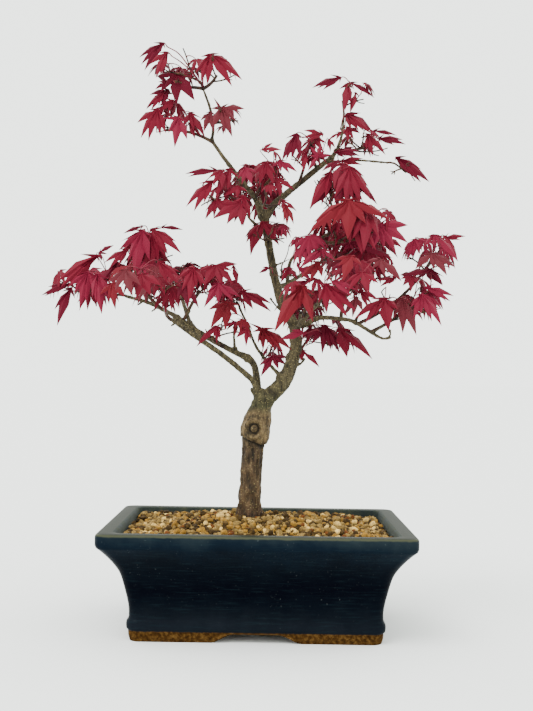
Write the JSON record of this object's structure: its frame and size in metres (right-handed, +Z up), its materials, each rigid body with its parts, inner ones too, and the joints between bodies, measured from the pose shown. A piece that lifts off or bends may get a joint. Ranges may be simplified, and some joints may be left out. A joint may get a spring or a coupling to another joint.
{
  "type": "potted bonsai maple tree",
  "caption": "Small red-leaved maple trained as a bonsai, with a swollen graft, leaning stems and layered crown, in a dark glazed rectangular pot of gravel.",
  "frame": {"origin": "middle of the plant's box, at the underside of the pot's feet", "axes": "+Z up along the plant's height; +X to the right and +Y to the back as the long side of the pot faces the viewer"},
  "size_m": [0.3962, 0.2602, 0.5186],
  "materials": {
    "glaze": "glossy",
    "soil": "rough",
    "bark": "rough",
    "leaves": "satin"
  },
  "bodies": {
    "root": {"back_left": "leaves", "back_left_bough": "bark", "back_low": "leaves", "back_low_bough": "bark", "back_right": "leaves", "back_right_bough": "bark", "back_top": "leaves", "back_top_bough": "bark", "crown_centre": "leaves", "crown_front": "leaves", "crown_left": "leaves", "crown_low": "leaves", "crown_over": "leaves", "far_right_low": "leaves", "far_right_top": "leaves", "front_bough": "bark", "front_left": "leaves", "front_right": "leaves", "inner_bough": "bark", "inner_low": "leaves", "left_centre": "leaves", "left_fork_bough": "bark", "left_inner": "leaves", "left_leader": "bark", "left_low": "leaves", "left_lower_bough": "bark", "left_middle": "leaves", "left_outer": "leaves", "left_top": "leaves", "left_upper_bough": "bark", "lower_right": "leaves", "lower_right_bough": "bark", "main_stem": "bark", "plume_bough": "bark", "plume_left": "leaves", "plume_over": "leaves", "plume_right": "leaves", "plume_top": "leaves", "plume_under": "leaves", "pot": "glaze", "right_centre": "leaves", "right_inner": "leaves", "right_lateral_bough": "bark", "right_leader": "bark", "right_middle": "leaves", "right_middle_bough": "bark", "right_tip": "leaves", "right_tip_bough": "bark", "right_upper": "leaves", "shoulder": "leaves", "soil": "soil", "top_bough": "bark", "top_right": "leaves", "trunk": "bark", "trunk_front": "leaves", "trunk_side": "leaves", "upper_stem": "bark"}
  },
  "joints": []
}
